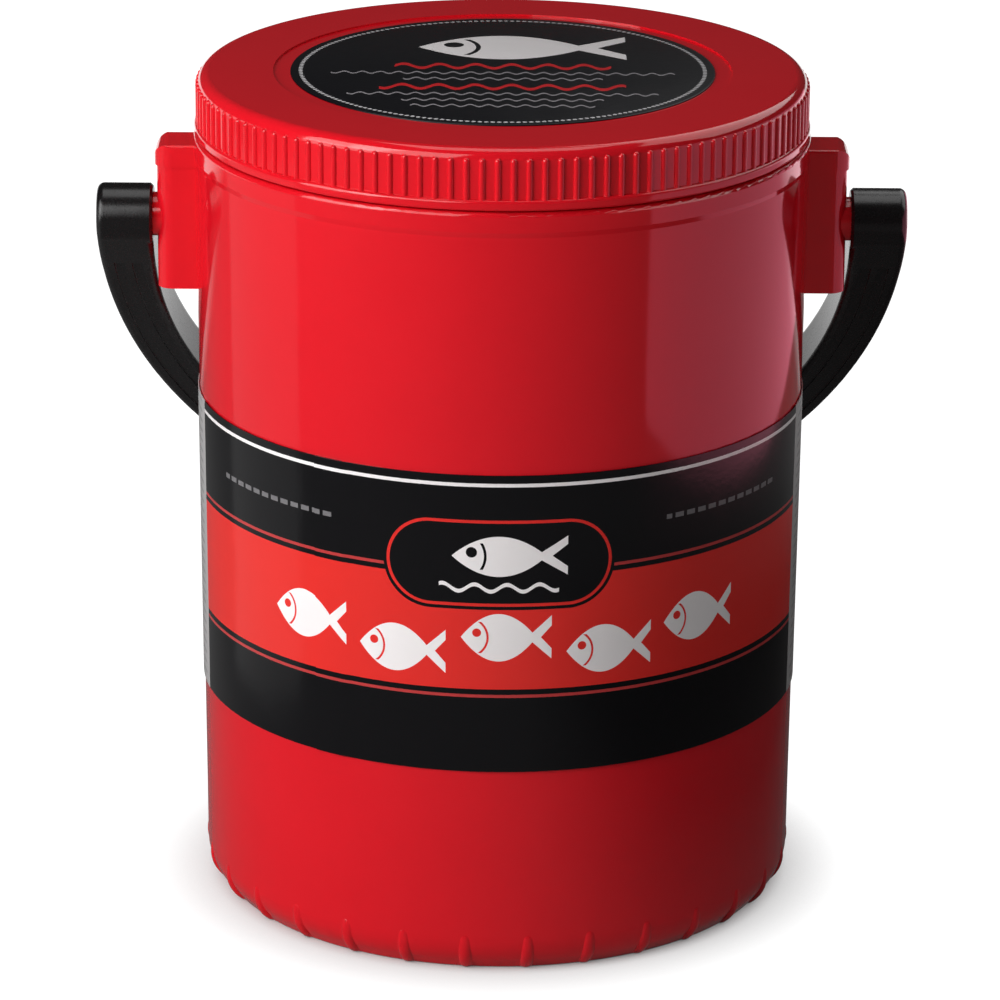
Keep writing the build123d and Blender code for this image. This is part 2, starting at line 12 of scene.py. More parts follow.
import bpy
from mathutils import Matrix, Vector


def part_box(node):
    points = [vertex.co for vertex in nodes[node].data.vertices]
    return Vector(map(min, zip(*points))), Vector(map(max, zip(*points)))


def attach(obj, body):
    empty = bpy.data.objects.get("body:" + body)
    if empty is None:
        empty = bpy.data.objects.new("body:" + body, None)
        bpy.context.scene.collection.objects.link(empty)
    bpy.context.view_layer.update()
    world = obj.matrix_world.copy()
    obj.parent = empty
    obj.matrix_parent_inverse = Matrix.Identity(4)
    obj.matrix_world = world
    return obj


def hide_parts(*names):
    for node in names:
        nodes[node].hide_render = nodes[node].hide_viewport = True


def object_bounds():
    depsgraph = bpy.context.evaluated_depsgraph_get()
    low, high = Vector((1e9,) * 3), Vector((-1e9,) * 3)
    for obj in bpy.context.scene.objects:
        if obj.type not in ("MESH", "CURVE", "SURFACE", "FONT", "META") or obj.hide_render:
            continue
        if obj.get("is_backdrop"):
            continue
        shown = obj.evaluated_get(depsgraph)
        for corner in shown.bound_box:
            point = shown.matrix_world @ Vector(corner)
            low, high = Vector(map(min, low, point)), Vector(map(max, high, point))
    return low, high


MM = 1000                                   # millimetres in a metre
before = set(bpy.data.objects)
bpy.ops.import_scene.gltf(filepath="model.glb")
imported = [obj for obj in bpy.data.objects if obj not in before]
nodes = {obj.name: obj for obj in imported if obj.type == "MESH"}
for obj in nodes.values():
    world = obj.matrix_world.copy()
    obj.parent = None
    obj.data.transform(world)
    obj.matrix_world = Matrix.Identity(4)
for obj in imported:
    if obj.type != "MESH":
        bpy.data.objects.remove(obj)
cad_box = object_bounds()
bpy.ops.object.select_all(action="DESELECT")
print("pieces:", ", ".join(sorted(nodes)))
print("size in mm:", [round(MM * side, 1) for side in cad_box[1] - cad_box[0]])

# %% [markdown]
# ## The camera
# The bucket is seen from a little above with a long lens, as on a shop's shelf. A short lens close
# by would make the lid look large and the foot small. A long lens from far away keeps the sides of
# the bucket almost parallel. The camera is aimed at a point on the bucket's axis and then turned
# by less than half a degree round its own line of sight.

# %% Camera
LENS = 194.5                                # mm
SENSOR_WIDTH = 36                           # mm
CAMERA_PLACE = Vector((0.00009, -1.1611, 0.4875))
CAMERA_AIM = Vector((0.00009, 0, 0.08774))
CAMERA_ROLL = math.radians(0.43)


def turn_towards(obj, aim):
    """Turns a camera or lamp so that it looks at a point."""
    obj.rotation_mode = "QUATERNION"
    obj.rotation_quaternion = (aim - obj.location).to_track_quat("-Z", "Y")


bpy.ops.object.camera_add(location=CAMERA_PLACE)
camera = bpy.context.object
camera.name = "camera"
turn_towards(camera, CAMERA_AIM)
camera.rotation_mode = "XYZ"
camera.rotation_euler.rotate_axis("Z", CAMERA_ROLL)
camera.data.lens = LENS
camera.data.sensor_width = SENSOR_WIDTH
bpy.context.scene.camera = camera
bpy.context.scene.view_settings.view_transform = "Standard"
print("camera is", round((CAMERA_PLACE - CAMERA_AIM).length, 3), "m away")

# %% [markdown]
# ## Helpers for modelling
# A piece is modelled as by hand: start from a primitive, go into edit mode, select what the next
# operator should change, and run the operator. By hand one clicks on what to select. In a script it
# could be picked by its number, but numbers change with every edit, so it is picked by its place.

# %% Selecting
def start_editing(obj):
    """Edit mode on one object, with nothing selected."""
    bpy.ops.object.select_all(action="DESELECT")
    obj.select_set(True)
    bpy.context.view_layer.objects.active = obj
    bpy.ops.object.mode_set(mode="EDIT")
    bpy.ops.mesh.select_all(action="DESELECT")


def select_where(obj, test):
    """Selects the vertices whose place passes a test, and what lies between them."""
    bpy.ops.mesh.select_mode(type="VERT")
    bpy.ops.mesh.select_all(action="DESELECT")
    bpy.ops.object.mode_set(mode="OBJECT")
    for vertex in obj.data.vertices:
        vertex.select = test(vertex.co)
    bpy.ops.object.mode_set(mode="EDIT")


# %% Finishing and measuring a piece
SAME_PLACE = 1e-6                           # m, two vertices nearer than this are one
SAME_HEIGHT = 1e-5                          # m
SMOOTH_ANGLE = math.radians(35)             # a sharper fold keeps its edge


def finish_piece(obj, name, body):
    """Puts the piece's place into its mesh, points its faces outwards and lets it ride."""
    bpy.ops.mesh.select_all(action="SELECT")
    bpy.ops.mesh.remove_doubles(threshold=SAME_PLACE)
    bpy.ops.mesh.normals_make_consistent(inside=False)
    bpy.ops.object.mode_set(mode="OBJECT")
    bpy.ops.object.transform_apply(location=True, rotation=True, scale=True)
    bpy.ops.object.shade_smooth_by_angle(angle=SMOOTH_ANGLE)
    obj.name = name
    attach(obj, body)
    print(name, "has", len(obj.data.polygons), "faces")


def edge_radii(node, height):
    """Inner and outer radius of a turned node's edge at a height."""
    ring = [v.co for v in nodes[node].data.vertices if abs(v.co.z - height) < SAME_HEIGHT]
    radii = [math.hypot(p.x, p.y) for p in ring]
    return min(radii), max(radii)


# %% [markdown]
# ## The label sleeve
# On the real bucket this is a strip of printed film, wrapped once round the wall and stuck down on
# itself. It could be a plain ring, but then the lap is missing, where its end lies on its start.
# Here a thin upright section is spun almost all the way round, stepped out by its own thickness,
# and spun a little further. First the strip's sizes are read off the CAD ring.

# %% The label's sizes
LAP_PLACE = math.radians(240)               # where the strip starts, from +X by way of the back
LAP_WIDTH = math.radians(6)
LAP_RAMP = math.radians(2)
LAP_GAP = 0.00003                           # m of glue between the two layers

label_low, label_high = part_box("label_sleeve")
label_height = label_high.z - label_low.z
foot_radii = edge_radii("label_sleeve", label_low.z)
head_radii = edge_radii("label_sleeve", label_high.z)
film = foot_radii[1] - foot_radii[0]
print("film is", round(MM * film, 2), "mm thick and", round(MM * label_height, 1), "mm wide")

# %% [markdown]
# The section is a tall thin rectangle. It starts as a square plane as tall as the label, which is
# then squeezed to the film's thickness, and its upper edge moves out by as much as the wall widens
# towards the lid. It could be drawn point by point, but then its sizes would be written twice.

# %% The label's section
section_middle = foot_radii[0] + film / 2
bpy.ops.mesh.primitive_plane_add(
    size=label_height,
    location=(section_middle, 0, label_low.z + label_height / 2),
    rotation=(math.radians(90), 0, 0),
)
label = bpy.context.object
bpy.ops.object.transform_apply(location=True, rotation=True, scale=True)
start_editing(label)
bpy.ops.mesh.select_all(action="SELECT")
squeeze = (film / label_height, 1, 1)
bpy.ops.transform.resize(value=squeeze, center_override=(section_middle, 0, label_low.z))
select_where(label, lambda co: co.z > label_low.z + label_height / 2)
bpy.ops.transform.translate(value=(head_radii[0] - foot_radii[0], 0, 0))
print("section has", len(label.data.edges), "edges")

# %% [markdown]
# The spin is the strip's wrap round the wall. A full turn with a mirrored end could close the ring,
# but the real strip steps up over its own start, so the last few degrees are spun apart: a ramp of
# two degrees, a step outwards, and then the lap. The section's own face closes the strip's start,
# and the last copy of it closes the end. With no window, rotate turns the other way, hence minus.

# %% The label's wrap
SPIN_STEP = math.radians(2)


def spin_on(angle):
    """Carries the selected section round the bucket's axis."""
    steps = max(1, round(angle / SPIN_STEP))
    bpy.ops.mesh.spin(steps=steps, angle=angle, center=(0, 0, 0), axis=(0, 0, 1))


bpy.ops.mesh.select_all(action="SELECT")
bpy.ops.transform.rotate(value=-LAP_PLACE, orient_axis="Z", center_override=(0, 0, 0))
spin_on(2 * math.pi - LAP_RAMP)
step_out = 1 + (film + LAP_GAP) / foot_radii[0]
spin_on(LAP_RAMP)
bpy.ops.transform.resize(value=(step_out, step_out, 1), center_override=(0, 0, 0))
spin_on(LAP_WIDTH)
finish_piece(label, "label_wrap", "bucket")
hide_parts("label_sleeve")

# %% [markdown]
# ## The label on the lid
# A round sticker lies in a shallow recess in the lid. It could be a flat disc, but a die cuts such
# stickers, and that rolls their edge down a little. So a circle is extruded to the sticker's
# thickness and its edges are bevelled, which gives a rim that catches the light.

# %% The lid's sticker
STICKER_SIDES = 160
EDGE_ROLL = 0.6                             # share of the thickness that the rim is rounded
ROLL_SEGMENTS = 3

sticker_low, sticker_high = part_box("lid_label")
sticker_thickness = sticker_high.z - sticker_low.z
bpy.ops.mesh.primitive_circle_add(
    vertices=STICKER_SIDES,
    radius=sticker_high.x,
    fill_type="NGON",
    location=(0, 0, sticker_low.z),
)
sticker = bpy.context.object
start_editing(sticker)
bpy.ops.mesh.select_all(action="SELECT")
bpy.ops.mesh.extrude_region_move(TRANSFORM_OT_translate={"value": (0, 0, sticker_thickness)})
bpy.ops.mesh.bevel(
    offset=EDGE_ROLL * sticker_thickness, segments=ROLL_SEGMENTS, affect="EDGES"
)
finish_piece(sticker, "lid_sticker", "lid")
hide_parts("lid_label")

# %% [markdown]
# ## Writing finishes as sums
# A finish is a small network of nodes. Wiring each node by hand hides the idea, so a number that
# varies over the surface is kept in a Value, and a sum on Values adds the Math nodes. A mask is a
# Value that is 1 inside a shape and 0 outside it, so & keeps what two masks share and | joins them.

# %% Values
class Value:
    """A number that varies over a surface."""

    def __init__(self, finish, socket):
        self.finish = finish
        self.socket = socket

    def math(self, operation, *others):
        sockets = dict(enumerate((self, *others)))
        return self.finish.add("Math", {"operation": operation}, sockets)

    def between(self, low, high):
        """The first limit where the value is 0, and the second where it is 1."""
        return low + (high - low) * self

    def __add__(self, other):
        return self.math("ADD", other)

    def __sub__(self, other):
        return self.math("SUBTRACT", other)

    def __neg__(self):
        return self.math("MULTIPLY", -1)

    def __rsub__(self, other):
        return -self + other

    def __mul__(self, other):
        return self.math("MULTIPLY", other)

    def __truediv__(self, other):
        return self.math("DIVIDE", other)

    def __lt__(self, other):
        return self.math("LESS_THAN", other)

    def __gt__(self, other):
        return self.math("GREATER_THAN", other)

    def __and__(self, other):
        return self.math("MULTIPLY", other)

    def __or__(self, other):
        return self.math("MAXIMUM", other)

    def __invert__(self):
        return 1 - self

    def __abs__(self):
        return self.math("ABSOLUTE")

    __radd__ = __add__
    __rmul__ = __mul__


# %% [markdown]
# A finish reads a point's place in the object's own coordinates, in millimetres, so that its
# pattern stays on a piece that moves. One method, add, makes every node. The others name the few
# things that a moulder or printer would ask for: a mix of two colours, soft noise, and the surface.

# %% Finishes
class Finish:
    """The nodes of a material or world. add() makes any node: settings first, then sockets."""

    def __init__(self, owner):
        self.owner = owner
        owner.use_nodes = True
        self.nodes = owner.node_tree.nodes
        self.links = owner.node_tree.links
        self.nodes.clear()
        place = self.add("TexCoord", {}, {}, "Object")
        self.place = self.add("VectorMath", {"operation": "SCALE"}, {0: place, "Scale": MM}, 0)
        parts = self.add("SeparateXYZ", {}, {0: self.place}, 0)
        self.x, self.y, self.z = (Value(self, out) for out in parts.socket.node.outputs)

    def add(self, kind, settings, sockets, out=0):
        node = self.nodes.new("ShaderNode" + kind)
        for name, value in settings.items():
            setattr(node, name, value)
        for name, value in sockets.items():
            if isinstance(value, Value):
                self.links.new(value.socket, node.inputs[name])
            else:
                node.inputs[name].default_value = value
        return None if out is None else Value(self, node.outputs[out])

    def mix(self, factor, low, high):
        """A colour between two others."""
        return self.add("Mix", {"data_type": "RGBA"}, {0: factor, 6: low, 7: high}, 2)

    def noise(self, width, detail, stretch=(1, 1, 1)):
        """Soft noise from 0 to 1 whose blobs are about this many millimetres wide."""
        scaled = self.add("Mapping", {}, {"Vector": self.place, "Scale": stretch})
        sockets = {"Vector": scaled, "Scale": 1 / width, "Detail": detail}
        return self.add("TexNoise", {}, sockets)

    def ramp(self, value, start, end):
        """0 up to one limit of a value, 1 from the other on, and even in between."""
        return self.add("MapRange", {}, {"Value": value, "From Min": start, "From Max": end})

    def surface(self, height, relief, **sockets):
        """Closes the network with one shader. relief is the height's size in millimetres."""
        bump = self.add("Bump", {}, {"Height": height, "Distance": relief / MM, "Strength": 1.0})
        sockets = {name.replace("_", " "): value for name, value in sockets.items()}
        shader = self.add("BsdfPrincipled", {}, {"Normal": bump, **sockets})
        return self.close(shader)

    def close(self, shader):
        kind = type(self.owner).__name__
        self.add("Output" + kind, {}, {"Surface": shader}, None)
        return self.owner


# %% Colours, and putting a finish on
SCREEN_TOE = 0.04045                        # constants of the sRGB curve
SCREEN_TOE_SLOPE = 12.92
SCREEN_OFFSET = 0.055
SCREEN_POWER = 2.4


def as_light(part):
    """One part of a colour, as a screen shows it from 0 to 255, turned into light."""
    part = part / 255
    if part <= SCREEN_TOE:
        return part / SCREEN_TOE_SLOPE
    return ((part + SCREEN_OFFSET) / (1 + SCREEN_OFFSET)) ** SCREEN_POWER


def colour(red, green, blue):
    return (as_light(red), as_light(green), as_light(blue), 1)


def new_finish(name):
    return Finish(bpy.data.materials.new(name))


def paint(material, *names):
    """Gives a finish to CAD nodes."""
    for name in names:
        for slot in nodes[name].material_slots:
            slot.material = material
    print(material.name, "on", ", ".join(names))


# %% [markdown]
# ## Red plastic
# The shell and the lid are moulded in one red polypropylene. One flat red would do from afar, but
# such a wall is glossy and never quite even: it sinks a little as it cools, so reflections have
# wavy edges, and its skin has a fine grain. Three sizes of noise give the wall that relief.

# %% Red plastic
RED_DEEP = colour(222, 19, 33)
RED_CLEAR = colour(230, 23, 37)
SINK_SHARE = 0.9
RIPPLE_SHARE = 0.05
GRAIN_SHARE = 0.006
RED_RELIEF = 0.35                           # mm

red = new_finish("red_plastic")
sink = red.noise(width=46, detail=0.0)
ripple = red.noise(width=9, detail=1.0)
grain = red.noise(width=0.9, detail=2.0)
cloud = red.noise(width=22, detail=3.0)
scuff = red.noise(width=3.0, detail=4.0, stretch=(1, 1, 0.15))
red_plastic = red.surface(
    sink * SINK_SHARE + ripple * RIPPLE_SHARE + grain * GRAIN_SHARE,
    RED_RELIEF,
    Base_Color=red.mix(cloud, RED_DEEP, RED_CLEAR),
    Roughness=scuff.between(0.06, 0.11),
    Specular_IOR_Level=0.5,
)
paint(red_plastic, "outer_shell", "lid_cap")

# %% [markdown]
# ## Black plastic
# The bail is moulded in a harder black plastic, against a mould that isn't polished. So its skin
# is satin: rougher than the red, with a grain that breaks up reflections. A black of zero would
# swallow the grooves, so the colour stays a little above it.

# %% Black plastic
BLACK_DEEP = colour(13, 11, 12)
BLACK_GREY = colour(18, 16, 17)
BLACK_GRAIN_SHARE = 0.08
BLACK_RELIEF = 0.12                         # mm

black = new_finish("black_plastic")
black_grain = black.noise(width=0.5, detail=3.0)
black_flow = black.noise(width=14, detail=2.0)
black_plastic = black.surface(
    black_grain * BLACK_GRAIN_SHARE + black_flow * (1 - BLACK_GRAIN_SHARE),
    BLACK_RELIEF,
    Base_Color=black.mix(black_flow, BLACK_DEEP, BLACK_GREY),
    Roughness=black_grain.between(0.2, 0.32),
    Specular_IOR_Level=0.5,
)
paint(black_plastic, "bail_handle")

# %% [markdown]
# ## White plastic
# The liner and the pan inside the lid show when the lid is off. They are white polyethylene, which
# is a little waxy: its gloss is wide and soft, and its white isn't quite even.

# %% White plastic
WHITE_WARM = colour(228, 228, 224)
WHITE_CLEAR = colour(238, 238, 235)
WHITE_GRAIN_SHARE = 0.1
WHITE_RELIEF = 0.06                         # mm

white = new_finish("white_plastic")
white_grain = white.noise(width=1.2, detail=2.0)
white_cloud = white.noise(width=18, detail=3.0)
white_plastic = white.surface(
    white_grain * WHITE_GRAIN_SHARE + white_cloud * (1 - WHITE_GRAIN_SHARE),
    WHITE_RELIEF,
    Base_Color=white.mix(white_cloud, WHITE_WARM, WHITE_CLEAR),
    Roughness=white_cloud.between(0.28, 0.38),
    Specular_IOR_Level=0.4,
)
paint(white_plastic, "inner_liner", "lid_liner")

# %% [markdown]
# ## Foam and rubber
# The foam in the walls is pressed from beads about three millimetres wide. Noise has no such cells,
# but a Voronoi pattern has: each point knows how far it is from the nearest bead's middle, so the
# beads bulge there. The gasket is matt rubber with only a fine grain.

# %% Foam
BEAD_WIDTH = 3.2                            # mm
BEAD_RELIEF = 0.5                           # mm
BEAD_MIDDLE = colour(240, 240, 236)
BEAD_EDGE = colour(214, 214, 208)

foam = new_finish("foam")
bead_sockets = {"Vector": foam.place, "Scale": 1 / BEAD_WIDTH}
bead = foam.add("TexVoronoi", {"feature": "F1"}, bead_sockets, "Distance")
foam_material = foam.surface(
    1 - bead * bead,
    BEAD_RELIEF,
    Base_Color=foam.mix(bead, BEAD_MIDDLE, BEAD_EDGE),
    Roughness=bead.between(0.75, 0.85),
)
paint(foam_material, "wall_foam", "base_foam", "lid_foam")

# %% Rubber
RUBBER_RELIEF = 0.04                        # mm
RUBBER_DARK = colour(38, 38, 40)
RUBBER_WORN = colour(48, 48, 50)

rubber = new_finish("gasket_rubber")
rubber_grain = rubber.noise(width=0.7, detail=3.0)
gasket_rubber = rubber.surface(
    rubber_grain,
    RUBBER_RELIEF,
    Base_Color=rubber.mix(rubber_grain, RUBBER_DARK, RUBBER_WORN),
    Roughness=rubber_grain.between(0.6, 0.75),
)
paint(gasket_rubber, "lid_gasket")

# %% [markdown]
# ## Shapes for print
# Print could be a picture wrapped round the piece, but a picture has a fixed sharpness. Here each
# shape is worked out from a point's place on the sheet, in millimetres across and up, so its edge
# stays sharp from any distance. The motifs are plain minnows and waves.

# %% Bands, circles and waves
def band(value, low, high):
    """Mask of a value that lies between two limits."""
    return (value > low) & (value < high)


def line(value, middle, width):
    """Mask of a value that lies near a middle."""
    return abs(value - middle) < width / 2


def reach(across, up):
    """Distance of a point from the middle of a shape."""
    return (across * across + up * up).math("SQRT")


def wave(across, up, length, height, width):
    """Mask of a wavy line."""
    crest = (across * (2 * math.pi / length)).math("SINE")
    return line(up, crest * (height / 2), width)


# %% [markdown]
# A minnow's body is a pair of parabolas that meet at the nose. Two straight lines spread from
# behind the body's middle as a tail, and a steeper pair cuts the fork out of it. The eye and the
# gill are cut out as well, so that the ink below shows through.

# %% A minnow's sizes
BODY_HALF = 0.38                            # half of the body's length, as a share of the fish
BODY_DEEP = 0.17                            # half of its depth, likewise
TAIL_START = 0.75                           # back from the body's middle, in halves of the body
TAIL_END = 1.45
TAIL_SPREAD = 0.62                          # slope of the tail's edges
FORK_START = 1.12
FORK_SPREAD = 0.75
EYE_AHEAD = 0.58                            # ahead of the middle, in halves of the body
EYE_UP = 0.2                                # above the middle, in halves of the depth
EYE_SIZE = 0.045                            # radius, as a share of the fish
GILL_AHEAD = 0.85                           # middle of the gill's arc
GILL_REACH = 0.56                           # radius of that arc, in halves of the body
GILL_WIDTH = 0.022
GILL_TALL = 0.66                            # in halves of the depth


def minnow(across, up, length, plump=1.0):
    """Mask of a small fish that looks towards the left."""
    half = BODY_HALF * length
    deep = BODY_DEEP * length * plump
    body = abs(up) < deep - across * across * (deep / half**2)
    tail = abs(up) < (across - TAIL_START * half) * (TAIL_SPREAD * plump)
    fork = abs(up) < (across - FORK_START * half) * (FORK_SPREAD * plump)
    eye = reach(across + EYE_AHEAD * half, up - EYE_UP * deep) < EYE_SIZE * length
    gill = line(reach(across + GILL_AHEAD * half, up), GILL_REACH * half, GILL_WIDTH * length)
    gill = gill & (abs(up) < GILL_TALL * deep)
    return (body | (tail & (across < TAIL_END * half) & ~fork)) & ~eye & ~gill


print("a minnow is", round(BODY_HALF / BODY_DEEP, 1), "times as long as deep, without its tail")

# %% [markdown]
# ## The label's print
# Print follows the film, so a point on it is given by its distance round the bucket from the
# middle of the front, and by its height above the floor. The front is a black panel with a red
# band between two keylines. The rest of the film is pale, with faint bars.

# %% The label's panel and bands
LABEL_RADIUS = 67.7                         # mm, as are all sizes of the print
PANEL_REACH = 88.8                          # from the middle of the front to the panel's edge
BAND_LOW = 67.6
BAND_HIGH = 93.6
UPPER_KEYLINE = 95.1
LOWER_KEYLINE = 66.0
KEYLINE_WIDTH = 0.7
TOP_LINE_HEIGHT = 114.4
TOP_LINE_WIDTH = 0.8

sleeve = new_finish("label_print")
along = sleeve.x.math("ARCTAN2", -sleeve.y) * LABEL_RADIUS
up = sleeve.z
panel = abs(along) < PANEL_REACH
red_band = band(up, BAND_LOW, BAND_HIGH)
keyline = line(up, UPPER_KEYLINE, KEYLINE_WIDTH) | line(up, LOWER_KEYLINE, KEYLINE_WIDTH)
top_line = line(up, TOP_LINE_HEIGHT, TOP_LINE_WIDTH)
print("the panel covers", round(math.degrees(2 * PANEL_REACH / LABEL_RADIUS)), "degrees")

# %% [markdown]
# The plaque in the middle is a lozenge with round ends. A point's reach from the straight stretch
# between the two end circles gives the whole lozenge at once, and its keyline too. The dashes on
# the black stand for small print, one row on each side.

# %% The label's plaque and dashes
PLAQUE_HALF = 25.5                          # half of its length
PLAQUE_ROUND = 10.6                         # radius of its ends
PLAQUE_HEIGHT = 96.6
PLAQUE_KEY_INSET = 1.1
PLAQUE_KEY_WIDTH = 0.7
PLAQUE_FISH = 27
PLAQUE_FISH_UP = 1.6
PLAQUE_WAVE_DOWN = 5.6
PLAQUE_WAVE_HALF = 13
PLAQUE_WAVE = {"length": 7.0, "height": 1.6, "width": 0.9}
DASH_HEIGHT = 104.0
DASH_WIDTH = 1.1
DASH_PITCH = 3.1
DASH_SHARE = 0.72
DASHES_FROM = 38
DASHES_TO = 74

past_straight = (abs(along) - (PLAQUE_HALF - PLAQUE_ROUND)).math("MAXIMUM", 0)
plaque_up = up - PLAQUE_HEIGHT
plaque_reach = reach(past_straight, plaque_up)
plaque = plaque_reach < PLAQUE_ROUND
plaque_key = line(plaque_reach, PLAQUE_ROUND - PLAQUE_KEY_INSET, PLAQUE_KEY_WIDTH)
plaque_fish = minnow(along, plaque_up - PLAQUE_FISH_UP, PLAQUE_FISH)
plaque_wave = wave(along, plaque_up + PLAQUE_WAVE_DOWN, **PLAQUE_WAVE)
plaque_wave = plaque_wave & (abs(along) < PLAQUE_WAVE_HALF)
dash = (along / DASH_PITCH).math("FRACT") < DASH_SHARE
dashes = line(up, DASH_HEIGHT, DASH_WIDTH) & dash & band(abs(along), DASHES_FROM, DASHES_TO)
print("each row has about", round((DASHES_TO - DASHES_FROM) / DASH_PITCH), "dashes")

# %% [markdown]
# Five minnows swim along the red band, every other one a little lower. They are one fish that is
# drawn once: the distance round the bucket is cut into cells as wide as the pitch, and each point
# asks where it is in its own cell.

# %% The label's row of minnows
FISH_PITCH = 23.0
FISH_COUNT = 5
FISH_LENGTH = 21.5
FISH_PLUMP = 1.5
FISH_HEIGHT = 79.6
FISH_DROP = 3.6                             # of every other fish

shifted = along + FISH_PITCH / 2
cell = (shifted / FISH_PITCH).math("FLOOR")
in_cell = shifted - cell * FISH_PITCH - FISH_PITCH / 2
odd = cell - (cell / 2).math("FLOOR") * 2
row_fish = minnow(in_cell, up - FISH_HEIGHT + odd * FISH_DROP, FISH_LENGTH, FISH_PLUMP)
row_fish = row_fish & (abs(along) < FISH_COUNT / 2 * FISH_PITCH)
print("the row is", FISH_COUNT * FISH_PITCH, "mm long")

# %% [markdown]
# The inks go on one over the other as in a press: first the black and the red, then keylines and
# dashes, then white, and last the plaque with its own print. Printed film is glossier than the
# wall and lies a little unevenly on it.

# %% The label's inks
INK_BLACK = colour(9, 8, 11)
INK_RED = colour(236, 48, 42)
INK_WHITE = colour(255, 250, 250)
INK_KEYLINE = colour(196, 62, 62)
INK_DASH = colour(120, 118, 120)
FILM_PALE = colour(198, 196, 196)
FILM_BAR = colour(172, 170, 171)
BAR_PITCH = 2.4
BAR_SHARE = 0.32
BAR_MARGIN = 3                              # pale film between the panel and the bars
FILM_RELIEF = 0.25
FILM_WAVE_SHARE = 0.8
FILM_GRAIN_SHARE = 0.05

bars = ((up / BAR_PITCH).math("FRACT") < BAR_SHARE) & (abs(along) > PANEL_REACH + BAR_MARGIN)
bare_film = sleeve.mix(bars, FILM_PALE, FILM_BAR)
ink = sleeve.mix(red_band, INK_BLACK, INK_RED)
ink = sleeve.mix(keyline, ink, INK_KEYLINE)
ink = sleeve.mix(dashes, ink, INK_DASH)
ink = sleeve.mix(row_fish | top_line, ink, INK_WHITE)
ink = sleeve.mix(plaque, ink, INK_BLACK)
ink = sleeve.mix(plaque_key, ink, INK_RED)
ink = sleeve.mix(plaque_fish | plaque_wave, ink, INK_WHITE)
film_wave = sleeve.noise(width=24, detail=1.0)
film_grain = sleeve.noise(width=1.4, detail=2.0)
label_print = sleeve.surface(
    film_wave * FILM_WAVE_SHARE + film_grain * FILM_GRAIN_SHARE,
    FILM_RELIEF,
    Base_Color=sleeve.mix(panel, bare_film, ink),
    Roughness=sleeve.noise(width=5, detail=3.0).between(0.12, 0.18),
    Specular_IOR_Level=0.4,
)
label.data.materials.append(label_print)
print(label_print.name, "has", len(label_print.node_tree.nodes), "nodes")

# %% [markdown]
# ## The lid sticker's print
# The sticker is black, with a ring of fine dots near its rim. Dots on a circle could be 204 small
# discs, but as print they are one: the turn round the middle is cut into cells, as the row of
# minnows was. One big minnow swims over rows of waves, some red and some fine and grey.

# %% The sticker's ring of dots
DOTS = 204
DOT_REACH = 44.7                            # from the sticker's middle
DOT_SIZE = 0.5                              # radius of one dot

disc = new_finish("lid_print")
out = reach(disc.x, disc.y)
turn = disc.x.math("ARCTAN2", disc.y)
dot_pitch = 2 * math.pi * DOT_REACH / DOTS
dot_across = ((turn * (DOTS / (2 * math.pi))).math("FRACT") - 0.5) * dot_pitch
ring = reach(dot_across, out - DOT_REACH) < DOT_SIZE
print("dots are", round(dot_pitch, 2), "mm apart")

# %% The sticker's minnow and waves
LID_FISH = 50
LID_FISH_UP = 20
LID_FISH_PLUMP = 1.25
RED_WAVE = {"length": 8, "height": 3.6, "width": 2.2}
FINE_WAVE = {"length": 4, "height": 1.8, "width": 0.9}
RED_ROWS = [(3, 24), (-15, 27)]             # height of each row, and half of its length
FINE_ROWS = [(-3, 38), (-8, 22), (-21, 34), (-26, 22), (-31, 20)]


def rows(places, shape):
    """Mask of several rows of waves."""
    mask = 0
    for middle, half in places:
        mask = wave(disc.x, disc.y - middle, **shape) & (abs(disc.x) < half) | mask
    return mask


lid_fish = minnow(disc.x, disc.y - LID_FISH_UP, LID_FISH, LID_FISH_PLUMP)
red_waves = rows(RED_ROWS, RED_WAVE)
fine_waves = rows(FINE_ROWS, FINE_WAVE)
print(len(RED_ROWS), "red rows and", len(FINE_ROWS), "fine ones")

# %% The sticker's inks
STICKER_BLACK = colour(5, 5, 11)
STICKER_GREY = colour(150, 146, 150)
STICKER_DOT = colour(205, 203, 205)
STICKER_RED = colour(206, 30, 36)
STICKER_RELIEF = 0.02

lid_ink = disc.mix(fine_waves, STICKER_BLACK, STICKER_GREY)
lid_ink = disc.mix(ring, lid_ink, STICKER_DOT)
lid_ink = disc.mix(red_waves, lid_ink, STICKER_RED)
lid_ink = disc.mix(lid_fish, lid_ink, INK_WHITE)
lid_print = disc.surface(
    disc.noise(width=1.2, detail=2.0),
    STICKER_RELIEF,
    Base_Color=lid_ink,
    Roughness=disc.noise(width=6, detail=3.0).between(0.3, 0.38),
    Specular_IOR_Level=0.3,
)
sticker.data.materials.append(lid_print)
print(lid_print.name, "has", len(lid_print.node_tree.nodes), "nodes")

# %% [markdown]
# ## The floor
# The bucket stands on a pale paper sweep. Lamps bright enough to turn it plain white would bleach
# the bucket, so the paper glows by itself where the camera looks, but for a short painted contact
# shadow round the foot. In reflections it is white only behind the bucket. In front it is nearly
# dark, and darkest in a painted shade on the right, where the bucket's own shade would fall, so the
# wall and the label keep their depth.

# %% The floor's sheet
FLOOR_RADIUS = 6                            # m
FLOOR_SIDES = 96

bpy.ops.mesh.primitive_circle_add(
    vertices=FLOOR_SIDES, radius=FLOOR_RADIUS, fill_type="NGON", location=(0, 0, 0)
)
floor = bpy.context.object
floor.name = "floor"
floor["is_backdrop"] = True
print("floor is", 2 * FLOOR_RADIUS, "m across")

